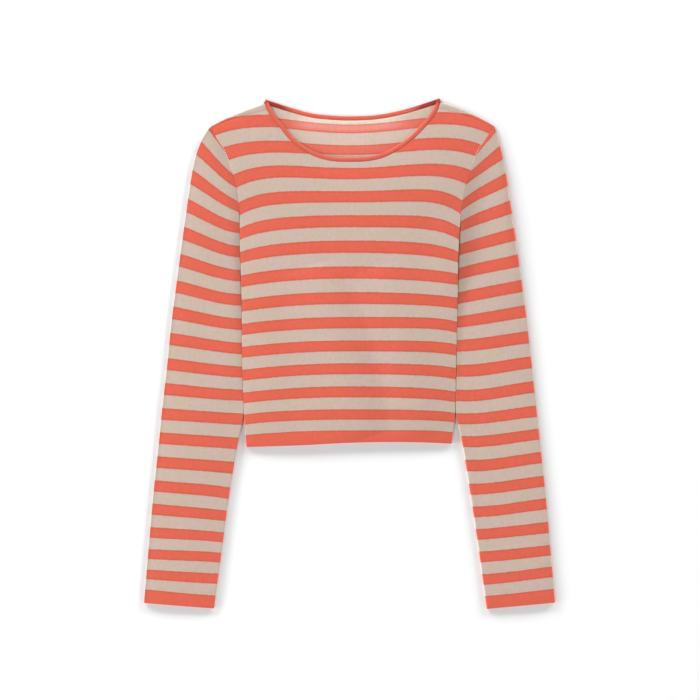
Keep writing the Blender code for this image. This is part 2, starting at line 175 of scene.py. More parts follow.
def crease_height(plan, creases):
    """Height that soft creases add to a layer. Each fades out at the two ends of its curve."""
    height = 0.0
    for width, depth, points in creases:
        across, along = distance_to(smooth_run(points, CREASE_STEPS), plan)
        height = height - depth * np.sqrt(np.sin(pi * along)) * np.exp(-(across / width) ** 2)
    return height


def stripe_count(plan, stripes):
    """Place of each plan position in the stripe repeat: whole numbers in the middle of the corals."""
    x, y = plan[..., 0], plan[..., 1]
    t = x / STRIPE_REACH
    middles = []
    for (height, right_bow, right_hook, left_bow, left_hook), power in zip(stripes, HOOK_POWER):
        bow, hook = np.where(t < 0, right_bow, left_bow), np.where(t < 0, right_hook, left_hook)
        middles.append(height - bow * t ** 2 - hook * np.abs(t) ** power)
    return place_between(np.array(middles), y)


def place_between(middles, y):
    """Count of y among falling stripe middles, running on evenly above the first and below the last."""
    gaps = middles[:-1] - middles[1:]
    count = 1.0 + (middles[0] - y) / gaps[0]
    for k in range(1, len(gaps)):
        count = np.where(y < middles[k], k + 1 + (middles[k] - y) / gaps[k], count)
    return count


def knit_counts(column, row, place, painted_shade=0.0):
    """What each point carries: its stitch column and knitted row, its place in the colours, and painted
    shade.
    """
    return np.stack(np.broadcast_arrays(column, row, place, painted_shade), axis=-1)


def striped_counts(wale, count, last, painted_shade=0.0):
    """The same for the striped knit, from millimetres across and a place among the stripes up to last."""
    return knit_counts(wale / WALE, count * COURSES, np.minimum(count, last + LAST_STRIPE), painted_shade)


def side_run(side, short):
    """A panel's side from the hem up to just short of the shoulder tip, and its directions inwards."""
    seam = even_run(on_side(SIDE_SEAM[side], side), SIDE_ROWS)
    armhole = even_run(on_side(ARMHOLE[side], side), ARMHOLE_ROWS, last=short)
    run = np.concatenate([seam, armhole[1:]])
    return run, left_normals(run) * side


def shoulder_stations(side):
    """Along the shoulder's fold, from the tip to the neck: points, directions to the seam, reaches."""
    fold = even_run(on_side(SHOULDER[side], side), SHOULDER_COLUMNS)
    seam_tip = even_run(on_side(ARMHOLE[side], side), 1, last=OVER_AT_TIP)[-1]
    seam_neck = even_run(FRONT_NECK, 1, OVER_AT_NECK, OVER_AT_NECK)[CORNER[side]]
    at_tip, at_neck = seam_tip - fold[0], seam_neck - fold[-1]
    share = np.linspace(0.0, 1.0, SHOULDER_COLUMNS + 1)[:, None]
    toward = at_tip / hypot(*at_tip) * (1.0 - share) + at_neck / hypot(*at_neck) * share
    toward /= np.linalg.norm(toward, axis=1, keepdims=True)
    return fold, toward, OVER_AT_TIP + (OVER_AT_NECK - OVER_AT_TIP) * share


def panel_plan(top, neck_columns, sides):
    """Plan positions [row, column] of a panel between the hem, its shaped sides and its top."""
    outer = SHOULDER_SHARE * np.arange(SHOULDER_COLUMNS) / SHOULDER_COLUMNS
    inner = np.linspace(SHOULDER_SHARE, 1.0 - SHOULDER_SHARE, neck_columns + 1)
    shares = np.concatenate([outer, inner, 1.0 - outer[::-1]])
    run = smooth_run(HEM)
    hem = np.stack([np.interp(shares, np.linspace(0, 1, len(run)), run[:, k]) for k in (0, 1)], axis=1)
    length = run_lengths(sides[RIGHT])
    up = (length / length[-1])[:, None, None]
    plan = hem * (1.0 - up) + top * up
    across = np.linspace(0.0, 1.0, len(top))
    straight = plan.copy()
    for side, near in ((RIGHT, 1.0 - across), (LEFT, across)):
        plan += near[None, :, None] ** SIDE_PULL * (sides[side] - straight[:, CORNER[side]])[:, None]
    return plan


def with_height(plan, height):
    """Put a height on plan positions."""
    return np.concatenate([plan, np.broadcast_to(height, plan.shape[:2])[..., None]], axis=-1)


def add_object(name, data):
    """A new object in the scene with this mesh, lamp or camera."""
    added = bpy.data.objects.new(name, data)
    bpy.context.scene.collection.objects.link(added)
    return added


def knit_piece(name, grids, finishes):
    """A named shell of cloth from grids of (outer face [row, column, xyz] in mm, knit counts)."""
    points, counts, faces, start = [], [], [], 0
    for place, knit in grids:
        index = start + np.arange(place.shape[0] * place.shape[1]).reshape(place.shape[:2])
        corners = (index[:-1, :-1], index[:-1, 1:], index[1:, 1:], index[1:, :-1])
        faces.append(np.stack(corners, axis=-1).reshape(-1, 4))
        points.append(place.reshape(-1, 3))
        counts.append(knit.reshape(-1, 4))
        start += index.size
    placed = (np.concatenate(points) - (0.0, CENTRE_Y, 0.0)) * MM
    mesh = bpy.data.meshes.new(name)
    mesh.from_pydata(placed.tolist(), [], np.concatenate(faces).tolist())
    counts = np.concatenate(counts).astype(np.float32)
    mesh.attributes.new("knit", "FLOAT_VECTOR", "POINT").data.foreach_set("vector", counts[:, :3].ravel())
    mesh.attributes.new("painted_shade", "FLOAT", "POINT").data.foreach_set("value", counts[:, 3])
    work = bmesh.new()
    work.from_mesh(mesh)
    bmesh.ops.remove_doubles(work, verts=work.verts, dist=WELD * MM)
    work.to_mesh(mesh)
    work.free()
    mesh.shade_smooth()
    for finish in finishes:
        mesh.materials.append(finish)
    piece = add_object(name, mesh)
    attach(piece, "root")
    return piece


def thicken(piece, thickness=KNIT):
    """Give a piece the thickness of its cloth inwards, with the wrong side inside, and round its edges."""
    shell = piece.modifiers.new("Cloth", "SOLIDIFY")
    shell.thickness, shell.offset = thickness * MM, -1.0
    shell.material_offset = 1
    edges = piece.modifiers.new("Edges", "BEVEL")
    edges.width, edges.segments = RIM * MM, 2
    edges.limit_method, edges.angle_limit = "ANGLE", radians(60.0)
    edges.use_clamp_overlap = False
    return piece


class Strand:
    """One value in a finish's nodes. Arithmetic with it adds Math nodes to the same finish."""

    def __init__(self, socket):
        self.socket = socket

    def node(self, kind, inputs=(), output=0, **settings):
        """A new node: its settings, then the values or links of its sockets."""
        tree = self.socket.id_data
        made = tree.nodes.new("ShaderNode" + kind)
        for setting, value in settings.items():
            setattr(made, setting, value)
        for where, value in dict(inputs).items():
            if isinstance(value, Strand):
                tree.links.new(value.socket, made.inputs[where])
            else:
                made.inputs[where].default_value = value
        return Strand(made.outputs[output])

    def maths(self, operation, *others):
        """A Math node on this value and the others."""
        return self.node("Math", dict(enumerate((self,) + others)), operation=operation)

    def mix(self, low, high):
        """Colour that goes from low to high as this value goes from 0 to 1."""
        return self.node("Mix", {0: self, 6: low, 7: high}, output=2, data_type="RGBA")

    def __add__(self, other):
        return self.maths("ADD", other)

    def __sub__(self, other):
        return self.maths("SUBTRACT", other)

    def __rsub__(self, other):
        return self.node("Math", {0: other, 1: self}, operation="SUBTRACT")

    def __mul__(self, other):
        return self.maths("MULTIPLY", other)

    def __pow__(self, other):
        return self.maths("POWER", other)

    def __abs__(self):
        return self.maths("ABSOLUTE")

    __radd__, __rmul__ = __add__, __mul__

    def step(self, middle, width):
        """0 below the middle and 1 above it, over a soft edge of this width."""
        return self.node("MapRange", {0: self, 1: middle - width / 2, 2: middle + width / 2},
                         interpolation_type="SMOOTHSTEP")


CORAL_HALF = 0.240          # half a coral stripe, as a share of the repeat
WRONG_CORAL_HALF = 0.215    # the same on the wrong side
EDGE = 0.050                # over which the two yarns mix at the edge of a stripe
EDGE_SHADE = 0.030          # width of the darker loops just inside that edge
WAVER = 0.030               # how far the loops of an edge waver, as a share of the repeat
STITCH_RELIEF = 0.10        # height of a stitch
SHEEN, SHEEN_ROUGHNESS, SPECULAR = 0.12, 0.5, 0.25
TINT_SCALE, CLOUD_SCALE, FUZZ_SCALE = 55.0, 210.0, 1400.0   # slow tint, uneven yarn, and its fibres
COOL, WARM = (0.965, 1.025, 0.90, 1), (1.035, 0.975, 1.10, 1)       # ends of that slow tint
TINT_CONTRAST = 1.6

# Inside the neck the wrong side is painted paler as light, this many stitch columns to each side, with a
# soft end. It is less so further down: how much less, below which place among the stripes, and how softly.
LIT_COLUMNS, LIT_END = 40.0, 22.0
LIT_TOP, LIT_STEPS = 0.78, ((0.55, 0.79, 0.06), (0.23, 1.10, 0.24))


def cotton_finish(name):
    """A new matt finish, its shader, and the three parts of the knit counts that its points carry."""
    finish = bpy.data.materials.new(name)
    finish.use_nodes = True
    shader = finish.node_tree.nodes["Principled BSDF"]
    shader.inputs["Sheen Weight"].default_value = SHEEN
    shader.inputs["Sheen Roughness"].default_value = SHEEN_ROUGHNESS
    shader.inputs["Specular IOR Level"].default_value = SPECULAR
    knit = Strand(shader.inputs["Roughness"]).node("Attribute", output=1, attribute_name="knit")
    return finish, shader, [knit.node("SeparateXYZ", {0: knit}, output=k) for k in range(3)]


def loop_relief(leg, course):
    """Height from 0 to 1 of the right side's loops, each with two slanting legs."""
    beat = (course + leg * 0.75).maths("FRACT")
    return (1.0 - (beat * 2.0 - 1.0) ** 2.0) * (1.0 - (leg * 2.0 - 1.0) ** 2.0 * 0.8)


def purl_relief(leg, course, wale):
    """Height from 0 to 1 of the wrong side's purl bumps, which sit in a brick pattern."""
    beat = (course + wale.maths("FLOOR") * 0.5).maths("FRACT")
    return (1.0 - (beat * 2.0 - 1.0) ** 2.0) * (0.55 + 0.45 * leg)


def unevenness(place, scale, detail=3.0):
    """Soft noise from 0 to 1 all over the cloth."""
    return place.node("TexNoise", {0: place, "Scale": scale, "Detail": detail, "Roughness": 0.6})


def dress(finish, shader, colour, shade, relief, fuzz):
    """Give a finish its shaded colour, its roughness and the relief of its stitches."""
    shaded = colour.node("VectorMath", {0: colour, "Scale": shade}, operation="SCALE")
    bump = relief.node("Bump", {"Height": relief + 0.25 * fuzz, "Distance": STITCH_RELIEF * MM,
                                "Strength": 1.0})
    for socket, strand in (("Base Color", shaded), ("Roughness", 0.94 - 0.10 * relief), ("Normal", bump)):
        finish.node_tree.links.new(strand.socket, shader.inputs[socket])
    return finish


def knit_finish(name, coral, beige, coral_half=CORAL_HALF, painted_light=None):
    """Cotton knit in two yarns. The wrong side shows purl bumps and is painted paler as light, towards its
    last colour.
    """
    finish, shader, (wale, course, stripe) = cotton_finish(name)
    leg = abs(wale.maths("FRACT") - 0.5) * 2.0
    relief = purl_relief(leg, course, wale) if painted_light else loop_relief(leg, course)
    stitch = wale.node("CombineXYZ", {0: wale.maths("FLOOR"), 1: course.maths("FLOOR")})
    each = stitch.node("TexWhiteNoise", {0: stitch}, noise_dimensions="2D")
    place = wale.node("TexCoord", output=3)
    tint, cloud = unevenness(place, TINT_SCALE), unevenness(place, CLOUD_SCALE)
    fuzz = unevenness(place, FUZZ_SCALE, 2.0)
    waver = (cloud - 0.5) * WAVER + (leg - 0.5) * 0.012 + (fuzz - 0.5) * 0.02
    off_middle = abs(stripe - stripe.maths("ROUND")) + waver
    is_beige = off_middle.step(coral_half, EDGE)
    on_edge = 1.0 - abs(off_middle - coral_half + EDGE_SHADE).step(EDGE_SHADE, EDGE_SHADE)
    colour = is_beige.mix(coral, beige)
    # Painted light: the wrong side is paler in the middle inside the neck, most near the nape.
    if painted_light:
        lit_share = LIT_TOP
        for less, below, softly in LIT_STEPS:
            lit_share = lit_share - less * stripe.step(below, softly)
        inside = 1.0 - abs(wale).step(LIT_COLUMNS, LIT_END)
        colour = (inside * lit_share).mix(colour, painted_light)
    warmth = ((tint - 0.5) * TINT_CONTRAST + 0.5).mix(COOL, WARM)
    colour = colour.node("VectorMath", {0: colour, 1: warmth}, operation="MULTIPLY")
    # Each stitch differs a little, its yarn is uneven and fuzzy, a stripe's edge is darker,
    # and the dips between the loops are painted darker as shade.
    shade = 0.90 + 0.04 * each + 0.22 * (cloud - 0.5) + 0.06 * (fuzz - 0.5) + 0.08 * relief - 0.13 * on_edge
    # Painted shade that the points carry, beside the body and along a sleeve's outer fold.
    painted_shade = wale.node("Attribute", output=2, attribute_name="painted_shade")
    return dress(finish, shader, colour, shade * (1.0 - painted_shade), relief, fuzz)


right_side = knit_finish("striped knit, right side", (0.703, 0.116, 0.069, 1), (0.553, 0.428, 0.356, 1))
# Its last colour is the painted light inside the neck.
wrong_side = knit_finish("striped knit, wrong side", (0.770, 0.160, 0.112, 1), (0.640, 0.490, 0.405, 1),
                         coral_half=WRONG_CORAL_HALF, painted_light=(0.860, 0.680, 0.575, 1))

# Creases of a layer: half width of each, its depth, which is below 0 for a ridge, and the points that
# it runs through. The last one raises the edge at the nape to the middle of its binding.
BACK_CREASES = (
    (12.0, -0.45, ((-60.0, 190.0), (-20.0, 120.0), (-6.0, 40.0))),
    (14.0, -0.5, ((40.0, 150.0), (66.0, 80.0), (84.0, -20.0))),
    (10.0, -0.4, ((-84.0, 30.0), (-70.0, -30.0), (-64.0, -92.0))),
    (9.0, -0.3, ((20.0, -30.0), (34.0, -70.0), (38.0, -104.0))),
    (18.0, -0.5, ((-50.0, 284.0), (0.0, 272.0), (56.0, 286.0))),
    (9.0, -0.45, BACK_NECK),
)


def back_piece():
    """The panel on the table with its two turns over the shoulders, outer face down."""
    sides = {}
    for side in (RIGHT, LEFT):
        run, inward = side_run(side, SHOULDER_FOLD)
        tuck = np.interp(np.arange(len(run)), TUCK_END, (SIDE_TUCK, 0.0))
        sides[side] = run + inward * tuck[:, None]
    stations = {side: shoulder_stations(side) for side in (RIGHT, LEFT)}
    turns = {side: fold + toward * SHOULDER_FOLD for side, (fold, toward, reach) in stations.items()}
    for side in (RIGHT, LEFT):
        sides[side][-1] = turns[side][0]
    neck = even_run(BACK_NECK, BACK_COLUMNS)
    top = np.concatenate([turns[RIGHT], neck[1:-1], turns[LEFT][::-1]])
    plan = panel_plan(top, BACK_COLUMNS, sides)
    height = crease_height(plan, BACK_CREASES)
    counts = striped_counts(plan[..., 0], stripe_count(plan, BACK_STRIPES), len(BACK_STRIPES))
    grids = [(with_height(plan, height)[:, ::-1], counts[:, ::-1])]
    angles = np.radians(np.linspace(0.0, 180.0, TURN_STEPS + 1))
    for side, (fold, toward, reach) in stations.items():
        inset = [SHOULDER_FOLD * (1.0 - sin(angle)) for angle in angles]
        rise = [SHOULDER_FOLD * (1.0 - cos(angle)) for angle in angles]
        for share in np.arange(1, FLAP_STEPS + 1) / FLAP_STEPS:
            inset.append(SHOULDER_FOLD + (reach + LINKED - SHOULDER_FOLD) * share)
            rise.append(2.0 * SHOULDER_FOLD - FLAP_DIP * share ** 3)
        over = np.array([fold + toward * step for step in inset])
        lift = np.array(rise)[:, None]
        back = stripe_count(over, BACK_STRIPES)
        front = stripe_count(over, FRONT_STRIPES)
        turned = np.clip(lift / SHOULDER_FOLD / 2.0, 0.0, 1.0)
        counts = striped_counts(over[..., 0], back + (front - back) * turned, len(BACK_STRIPES))
        order = slice(None, None, side)
        grids.append((with_height(over, lift)[:, order], counts[:, order]))
    return knit_piece("striped_back", grids, (right_side, wrong_side))


back = thicken(back_piece())
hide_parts("back")

# --- Front -----------------------------------------------------------------------------------------
# The same knit with the deep round neckline, shaped at the armholes and linked to the back at the
# sides and to its turned-over shoulders. It lies on the back, and its sides roll round the back's.

FRONT_COLUMNS = 104
ROLL = 0.95                 # outer radius of the side where the top lies folded along its side seam
FOLD_ANGLES = (15.0, 30.0, 45.0, 60.0, 75.0, 90.0)      # degrees, the points round a folded edge
ROLL_SQUARE = 2.8           # how square that roll is, 2 is round
ROLL_LENGTH = 1.3           # length of the cloth round it, in outer radii
ROLL_END = (SIDE_ROWS - 5, SIDE_ROWS + 1)       # rows over which it gives way to the armhole seam
WALL_STEPS = 2              # steps from the roll down to its foot
SEAM_DIP = 0.12             # how far the cloth dips into the armhole seam
FOOT = 0.1                  # the rolled side ends this far above the table
FRONT_LOFT = 3.2            # air under the middle of the front
LOFT_REACH = 30.0           # distance from a closed edge in which the front rises
HEM_LOFT, NECK_LOFT = 0.46, 0.12        # shares of that loft left at the hem and the neckline
OPEN_REACH = 40.0
ARMHOLE_START = 10.0        # the front is already raised by this much reach at the armhole
SIDE_START = {RIGHT: 4.0, LEFT: 6.0}    # and by this much at the side seams
FOLDS_REACH = 12.0          # the folds fade out over this distance from a side seam
FOLDS_LOFT = 0.4            # and where the loft is not much more than this

FRONT_CREASES = (
    # The long slanting fold of the middle: its crest, then the trough on its left.
    (27.0, -3.5, ((-52.0, 112.0), (-38.0, 69.0), (-18.0, 23.0), (-6.0, -16.0), (5.0, -51.0),
                  (16.0, -84.0), (24.0, -108.0))),
    (12.0, 1.4, ((-8.0, 100.0), (5.0, 66.0), (22.0, 23.0), (33.0, -16.0), (43.0, -51.0),
                 (51.0, -84.0), (56.0, -110.0))),
    # The second crest beside it, from which the cloth falls to the wearer's left side.
    (26.0, -2.7, ((34.0, 110.0), (47.0, 69.0), (66.0, 23.0), (77.0, -16.0), (88.0, -51.0),
                  (95.0, -84.0), (99.0, -108.0))),
    # A shallow trough towards the wearer's right.
    (18.0, 1.1, ((-94.0, 66.0), (-83.0, 20.0), (-75.0, -30.0), (-70.0, -80.0), (-67.0, -112.0))),
    # The chest beside the left armhole.
    (18.0, 0.9, ((94.0, 190.0), (102.0, 140.0), (106.0, 84.0))),
    # The hem turns up a little at its edge.
    (11.0, -0.7, HEM),
)


def share_up(distance, reach):
    """Share from 0 at an edge towards 1 far away from it."""
    return 1.0 - np.exp(-distance / reach)


def front_outer(plan):
    """Height of the front's outer face above the table."""
    loft, spread = FRONT_LOFT, 1.0
    for side in (RIGHT, LEFT):
        for outline, start in ((SIDE_SEAM, SIDE_START[side]), (SHOULDER, 0.0), (ARMHOLE, ARMHOLE_START)):
            away = distance_to(smooth_run(on_side(outline[side], side)), plan)[0]
            loft = loft * share_up(away + start, LOFT_REACH)
            if outline is SIDE_SEAM:
                spread = spread * share_up(away, FOLDS_REACH)
    for outline, share in ((HEM, HEM_LOFT), (FRONT_NECK, NECK_LOFT)):
        away = distance_to(smooth_run(outline), plan)[0]
        loft = loft * (share + (1.0 - share) * share_up(away, OPEN_REACH))
    folds = crease_height(plan, FRONT_CREASES)
    return 2.0 * CLOTH + SEAM + np.maximum(loft + folds * spread * share_up(loft, FOLDS_LOFT), 0.0)


def rolled_sides(plan, height, sides, inwards):
    """Add the columns that go round the folded side seams, or dip into the armhole seams."""
    rows = len(plan)
    beside = np.interp(np.arange(rows), ROLL_END, (1.0, 0.0))
    angles, power = np.radians(FOLD_ANGLES), 2.0 / ROLL_SQUARE
    steps = len(angles) + WALL_STEPS
    blocks = [with_height(plan, height)]
    wales = [plan[..., 0]]
    for side, corner in CORNER.items():
        edge, top = plan[:, corner], height[:, corner]
        wall = top - ROLL - FOOT
        columns, run = [], []
        for k in range(steps):
            even = (k + 1) / steps
            if k < len(angles):
                out = ROLL * sin(angles[k]) ** power
                drop = ROLL * (1.0 - max(cos(angles[k]), 0.0) ** power)
            else:
                out, drop = ROLL, ROLL + wall * (k + 1 - len(angles)) / WALL_STEPS
            out = beside * out + (1.0 - beside) * (ROLL + LINKED) * even
            drop = beside * drop + (1.0 - beside) * SEAM_DIP * even ** 2
            column = edge - inwards[side] * out[:, None]
            columns.append(np.concatenate([column, (top - drop)[:, None]], axis=1))
            run.append(edge[:, 0] + side * ROLL * ROLL_LENGTH * even)
        block, wale = np.stack(columns, axis=1), np.stack(run, axis=1)
        order = slice(None, None, side)
        blocks.insert(0 if side == RIGHT else len(blocks), block[:, order])
        wales.insert(0 if side == RIGHT else len(wales), wale[:, order])
    return np.concatenate(blocks, axis=1), np.concatenate(wales, axis=1)


def front_piece():
    """The panel on the back, outer face up."""
    sides, inwards, seams = {}, {}, {}
    for side in (RIGHT, LEFT):
        run, inwards[side] = side_run(side, OVER_AT_TIP + SEAM - LINKED)
        sides[side] = run + inwards[side] * ROLL
        fold, toward, reach = shoulder_stations(side)
        seams[side] = fold + toward * (reach + SEAM - LINKED)
        seams[side][0] = sides[side][-1]
    trim = OVER_AT_NECK + SEAM - LINKED
    neck = even_run(FRONT_NECK, FRONT_COLUMNS, trim, trim)
    top = np.concatenate([seams[RIGHT][:-1], neck, seams[LEFT][:-1][::-1]])
    plan = panel_plan(top, FRONT_COLUMNS, sides)
    place, wale = rolled_sides(plan, front_outer(plan), sides, inwards)
    count = stripe_count(place[..., :2], FRONT_STRIPES)
    counts = striped_counts(wale, count, len(FRONT_STRIPES))
    return knit_piece("striped_front", [(place, counts)], (right_side, wrong_side))


front = thicken(front_piece())
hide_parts("front")

# --- Sleeves ---------------------------------------------------------------------------------------
# Two long sleeves of the same knit, each a flattened tube with its seam on the inner edge, set into
# the armhole by linking and knitted to the cuff in one. They taper a little and lie beside the body.

SLEEVE_FOLD = 1.6           # outer radius of the folded edges of a sleeve
SLEEVE_CROWN = {RIGHT: 1.05, LEFT: 0.7}         # extra height in the middle of a flattened sleeve
CROWN_AT_ARMHOLE = 0.15     # share of that crown at the armhole and at the cuff
CROWN_AT_CUFF = 0.90
CROWN_RUN = 0.06            # how soon it rises from the armhole, as a share of the sleeve's length
CROWN_SKEW = 0.70           # below 1 its top lies nearer the outer edge
CROWN_POWER = 1.5           # above 1 it is narrower than half a wave
BESIDE = 0.04               # between a sleeve and the side seam that it lies against
TIP_EASE = 0.5              # extra gap where the folded sleeve starts at the shoulder tip
TIP_SHARE = 0.1             # share of the armhole over which that gap closes
ARMHOLE_FADE = 3.0          # sections over which the armhole's curve straightens out
SECTION_RINGS = 22          # rings from one section to the next
SETTLE_RINGS = (10, 44)     # rings over which the sleeve comes to lie against the body
SEAM_STEPS = 90
LAYER_COLUMNS = 32
LEAST = 1e-6                # keeps a root away from 0
INNER_SQUARE = 4.2          # how square the inner fold is where it lies against the body, 2 is round
HUG = 1.75                  # height of the upper layer where it sinks right down beside the body
INNER_SINK = 0.45           # how far it sinks there, 1 is all the way
INNER_REACH = {RIGHT: 9.0, LEFT: 16.0}          # over what distance from the body
SINK_MIDDLE = {RIGHT: 105.0, LEFT: 130.0}       # and at what height it sinks most
SINK_REACH = {RIGHT: 60.0, LEFT: 62.0}
HEM_FREE = (-96.0, -78.0)   # between these heights the sleeve parts from the body
ARMHOLE_DIP = 0.12          # how far the sleeve dips into the armhole seam
DIP_REACH = 0.9

# Sections from below the armhole to the cuff: (outer out, outer up, inner out, inner up).
SLEEVE_SECTIONS = {
    RIGHT: ((193.6, 273.5, 142.8, 164.0), (203.4, 242.0, 142.4, 142.0), (212.8, 181.0, 141.9, 112.0),
            (222.4, 111.0, 140.6, 72.0), (231.3, 43.0, 139.9, 22.0), (237.7, -20.0, 139.2, -31.0),
            (243.7, -71.0, 137.9, -78.6), (247.8, -114.0, 146.0, -121.0),
            (254.9, -180.0, 157.0, -187.0), (261.2, -250.0, 166.2, -256.5),
            (267.3, -324.8, 176.4, -332.0)),
    LEFT: ((190.9, 287.5, 144.7, 177.5), (196.4, 267.0, 144.2, 164.0), (203.3, 235.0, 143.1, 142.0),
           (212.0, 178.0, 141.5, 112.0), (221.5, 111.0, 140.5, 72.0), (230.4, 43.0, 139.5, 22.0),
           (237.4, -20.0, 138.9, -31.0), (242.7, -70.0, 138.4, -77.6), (247.4, -113.0, 147.0, -120.0),
           (254.6, -180.0, 157.4, -185.5), (260.8, -250.0, 168.0, -257.0),
           (267.3, -324.3, 178.3, -332.6)),
}

# Coral stripes of the sleeves, from the cap's own first one: middle of each at the outer and at the
# inner edge as (outer out, outer up, inner out, inner up), and how far it sags two thirds across.
SAG_PEAK = 6.75             # brings that sag's curve to 1 at its lowest point
SLEEVE_STRIPES = {
    RIGHT: ((192.7, 315.7, 152.2, 256.2, 0.0), (196.0, 265.6, 149.9, 224.1, 2.5),
            (205.9, 228.7, 147.6, 191.2, 1.6), (211.6, 191.6, 144.9, 163.6, 3.4),
            (216.6, 155.7, 142.4, 131.8, 3.3), (221.2, 120.5, 141.4, 100.6, 2.7),
            (225.6, 86.3, 140.3, 69.1, 2.6), (229.8, 52.2, 139.8, 37.6, 2.0),
            (233.7, 18.3, 140.1, 5.6, 0.9), (236.9, -14.4, 139.5, -24.9, 0.8),
            (241.3, -46.6, 138.0, -54.7, 1.0), (244.3, -79.3, 139.4, -85.8, 0.2),
            (247.1, -110.5, 145.8, -117.5, -0.1), (250.6, -141.6, 151.8, -148.8, -0.2),
            (254.1, -172.7, 157.4, -182.6, -1.3), (257.1, -202.6, 161.7, -211.8, -0.3),
            (259.2, -233.4, 165.4, -239.7, -0.7), (262.0, -261.5, 168.2, -265.8, -0.6),
            (264.4, -287.5, 171.7, -293.1, 0.4), (266.6, -313.2, 175.3, -322.0, 0.3)),
    LEFT: ((195.6, 304.9, 157.9, 254.9, 0.0), (197.6, 260.1, 154.4, 228.2, -0.6),
           (204.5, 225.4, 146.2, 191.3, -2.8), (210.1, 189.8, 146.4, 165.9, -1.1),
           (215.4, 154.2, 142.2, 134.4, -0.3), (220.5, 120.1, 141.2, 102.6, -1.0),
           (224.2, 87.4, 140.5, 71.0, -0.2), (229.0, 54.2, 139.6, 40.3, 0.7),
           (232.6, 20.5, 139.4, 9.4, 1.2), (236.5, -12.2, 138.7, -22.9, 2.4),
           (240.2, -44.1, 138.1, -55.1, 3.2), (243.1, -75.9, 141.4, -85.3, 2.2),
           (246.5, -105.6, 146.7, -114.5, 2.4), (249.8, -135.6, 152.6, -146.1, 2.4),
           (253.4, -166.8, 156.4, -177.2, 1.6), (255.8, -195.6, 160.7, -206.6, 1.4),
           (258.4, -226.9, 165.4, -235.8, 0.6), (260.8, -256.7, 169.5, -265.1, 0.4),
           (263.4, -284.0, 173.6, -294.6, 0.8), (266.1, -313.6, 177.3, -322.4, 0.2)),
}

# Creases of the upper and the under layer, with (x, y) points.
SLEEVE_CREASES = {
    RIGHT: {"upper": ((15.0, -0.8, ((-153.0, 104.0), (-153.0, 20.0), (-151.0, -70.0))),
                      (9.0, 0.3, ((-192.0, 100.0), (-193.0, 20.0), (-190.0, -62.0))),
                      (6.0, 0.35, ((-196.0, -132.0), (-190.5, -143.0), (-186.0, -156.0)))),
            "under": ((10.0, -0.3, ((-180.0, 90.0), (-196.0, 0.0), (-200.0, -120.0))),)},
    LEFT: {"upper": ((21.0, -1.9, ((188.0, 276.0), (198.0, 232.0), (206.0, 180.0), (214.0, 120.0),
                                   (219.0, 60.0))),
                     (10.0, 0.3, ((214.0, -90.0), (220.0, -170.0), (224.0, -240.0)))),
           "under": ((10.0, -0.3, ((180.0, 60.0), (200.0, -60.0), (214.0, -200.0))),)},
}
FLAT_POWER = 10             # how close to a sleeve's folds its creases reach
NOMINAL_WIDTH = 100.0       # width of the sleeve for which that is worked out

# Where a sleeve sinks beside the body, shade is painted into it: height, how dark, and how far out.
BESIDE_BODY_SHADE = {
    RIGHT: ((-120.0, 0.0, 3.0), (-60.0, 0.02, 3.0), (-9.0, 0.05, 5.0), (30.0, 0.10, 6.0), (69.0, 0.15, 7.0),
            (108.0, 0.19, 8.0), (147.0, 0.19, 9.0), (190.0, 0.13, 10.0), (230.0, 0.10, 12.0),
            (264.0, 0.08, 14.0), (290.0, 0.02, 14.0)),
    LEFT: ((-120.0, 0.0, 4.0), (-60.0, 0.03, 5.0), (-29.0, 0.06, 6.0), (23.0, 0.18, 8.0), (75.0, 0.33, 11.5),
           (127.0, 0.31, 23.5), (179.0, 0.26, 24.0), (230.0, 0.20, 22.0), (264.0, 0.14, 18.0),
           (290.0, 0.03, 14.0)),
}
SHADE_FLATNESS = 2.5          # how flat the painted shade stays near the body
BODY_EDGE_STEP = 4          # every fourth point of the body's edge is enough to measure from
OUTER_FOLD_SHADE = {RIGHT: 0.36, LEFT: 0.0}       # painted shade along the outer fold, where the knit turns away
OUTER_FOLD_SHADE_REACH = 2.2


def clear_of_body(side, up):
    """How far out a sleeve's inner edge has to stay at these heights."""
    body = smooth_run(SIDE_SEAM[side])
    return np.interp(up, body[:, 1], body[:, 0], left=0.0) + BESIDE


def sleeve_seam(side):
    """The sleeve's side of an armhole seam, from the shoulder down, eased round the tip."""
    armhole = even_run(on_side(ARMHOLE[side], side), SEAM_STEPS)
    below_tip = np.linspace(1.0, 0.0, len(armhole))
    ease = TIP_EASE * np.maximum(1.0 - below_tip / TIP_SHARE, 0.0)
    return (armhole - left_normals(armhole) * side * (SEAM - LINKED + ease)[:, None])[::-1]


def sleeve_count(x, y, side):
    """Place of plan positions in a sleeve's stripe repeat, where 0 is the cap's own first coral."""
    middles = []
    for outer_out, outer_up, inner_out, inner_up, sag in SLEEVE_STRIPES[side]:
        across = (side * x - outer_out) / (inner_out - outer_out)
        bow = SAG_PEAK * np.clip(across, 0.0, 1.0) ** 2 * (1.0 - np.clip(across, 0.0, 1.0))
        middles.append(outer_up + (inner_up - outer_up) * across - sag * bow)
    return place_between(np.array(middles), y) - 1.0


def sleeve_profile(width, square=2.0):
    """Round a flattened sleeve of this width: shares across from the outer edge, and rises from 0 to 1."""
    angles = np.radians(FOLD_ANGLES)
    inset = SLEEVE_FOLD * (1.0 - np.cos(angles)) / width
    rise = 0.5 + 0.5 * np.sin(angles)
    tight = SLEEVE_FOLD * (1.0 - np.cos(angles).clip(LEAST) ** (2.0 / square)) / width
    tight_rise = 0.5 + 0.5 * np.sin(angles) ** (2.0 / square)
    shares = np.arange(1, LAYER_COLUMNS) / LAYER_COLUMNS
    level = np.ones(len(shares))
    top = np.concatenate([inset, shares, (1.0 - tight)[::-1]])
    top_rise = np.concatenate([rise, level, tight_rise[::-1]])
    across = np.concatenate([[0.0], top, [1.0], top[::-1], [0.0]])
    return across, np.concatenate([[0.5], top_rise, [0.5], 1.0 - top_rise[::-1], [0.5]])


